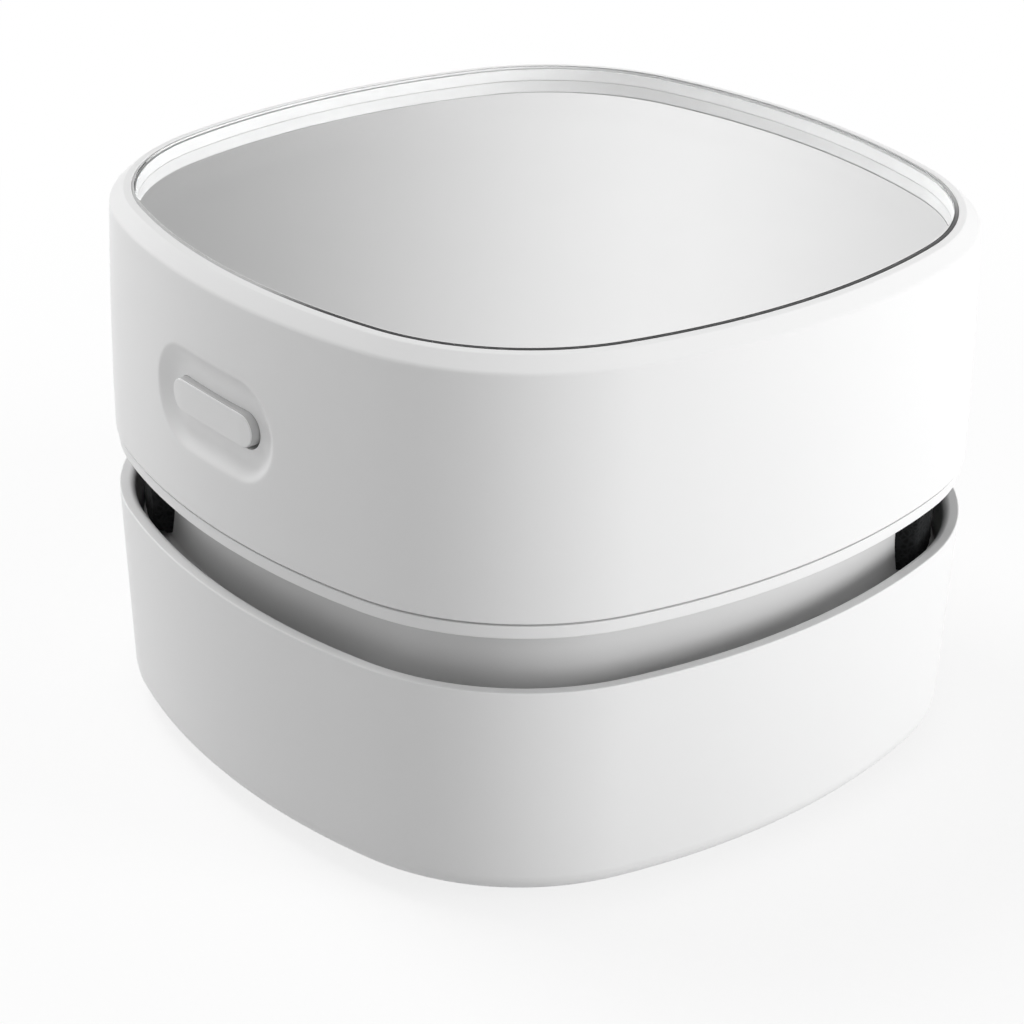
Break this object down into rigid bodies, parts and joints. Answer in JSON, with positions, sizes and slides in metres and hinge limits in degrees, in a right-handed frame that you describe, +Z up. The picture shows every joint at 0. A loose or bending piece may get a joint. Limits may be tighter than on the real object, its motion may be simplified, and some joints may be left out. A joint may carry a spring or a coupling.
{
  "type": "desktop mini vacuum cleaner",
  "caption": "Soft square desk vacuum: white head with a clear-topped silver deck and an oblong push button, lifting off a dust bin over an open exhaust gap.",
  "frame": {"origin": "on the desk, under the middle of the body, level with the glide feet", "axes": "+Z up; -Y is the face with the push button, +Y the face with the charging socket; +X is to the right of the button"},
  "size_m": [0.087, 0.087, 0.0615],
  "materials": {
    "shell_white": "fine satin white moulding",
    "bin_white": "fine satin white moulding",
    "window_clear": "clear polished acrylic",
    "deck_silver": "glossy silver grey paint",
    "plastic_grey": "matt light grey moulding",
    "plastic_black": "matt black moulding",
    "foam_black": "open-cell black foam",
    "rubber_dark": "matt dark rubber",
    "felt_white": "soft off-white filter felt",
    "screw_steel": "zinc plated",
    "motor_steel": "bright plated sheet",
    "motor_nylon": "natural nylon",
    "contact_brass": "plated strip",
    "board_green": "solder mask",
    "cell_wrap": "blue shrink film",
    "lead_red": "red insulation",
    "lead_black": "black insulation",
    "bristle_nylon": "white nylon bristle",
    "glide_grey": "hard pale grey glide"
  },
  "bodies": {
    "bin": {"dust_bin": "bin_white", "brush_holder": "plastic_grey", "brush_strip_back_right": "bristle_nylon", "brush_strip_back_left": "bristle_nylon", "brush_strip_front_left": "bristle_nylon", "brush_strip_front_right": "bristle_nylon", "holder_screw_left": "screw_steel", "holder_screw_right": "screw_steel", "glide_foot_1": "glide_grey", "glide_foot_2": "glide_grey", "glide_foot_3": "glide_grey", "glide_foot_4": "glide_grey"},
    "head": {"upper_shell": "shell_white", "top_window": "window_clear", "deck_plate": "deck_silver", "base_ring": "shell_white", "vent_core": "plastic_grey", "exhaust_foam_left": "foam_black", "exhaust_foam_right": "foam_black", "seal_ring": "rubber_dark", "fan_housing": "plastic_grey", "filter_frame": "plastic_grey", "filter_pad": "felt_white", "chassis_plate": "shell_white", "chassis_screw_1": "screw_steel", "chassis_screw_2": "screw_steel", "chassis_screw_3": "screw_steel", "chassis_screw_4": "screw_steel", "motor_can": "motor_steel", "motor_end_cap": "motor_nylon", "motor_terminal_left": "contact_brass", "motor_terminal_right": "contact_brass", "motor_clamp": "plastic_grey", "clamp_screw_left": "screw_steel", "clamp_screw_right": "screw_steel", "control_board": "board_green", "switch_body": "plastic_black", "charge_board": "board_green", "board_screw_left": "screw_steel", "board_screw_right": "screw_steel", "usb_shell": "motor_steel", "usb_tongue": "plastic_black", "battery_cell": "cell_wrap", "battery_cradle": "plastic_grey", "battery_contact_left": "contact_brass", "battery_contact_right": "contact_brass", "motor_lead_left": "lead_red", "motor_lead_right": "lead_black", "battery_lead_left": "lead_black", "battery_lead_right": "lead_red"},
    "button": {"power_button": "shell_white"},
    "plunger": {"switch_plunger": "plastic_black"},
    "rotor": {"motor_shaft": "motor_steel", "impeller": "plastic_black"}
  },
  "joints": [
    {"name": "head_lift", "type": "slide", "parent": "bin", "child": "head", "axis": [0, 0, 1], "range_m": [0, 0.04]},
    {"name": "button_press", "type": "slide", "parent": "head", "child": "button", "axis": [0, 1, 0], "range_m": [0, 0.0006], "stiffness_N_per_m": 600},
    {"name": "plunger_press", "type": "slide", "parent": "head", "child": "plunger", "axis": [0, 1, 0], "range_m": [0, 0.00035]},
    {"name": "fan_spin", "type": "hinge", "parent": "head", "child": "rotor", "pos_m": [0, 0, 0.0286], "axis": [0, 0, 1], "continuous": true}
  ],
  "couplings": [
    {"joint": "plunger_press", "follows": "button_press", "ratio": 0.5833}
  ]
}
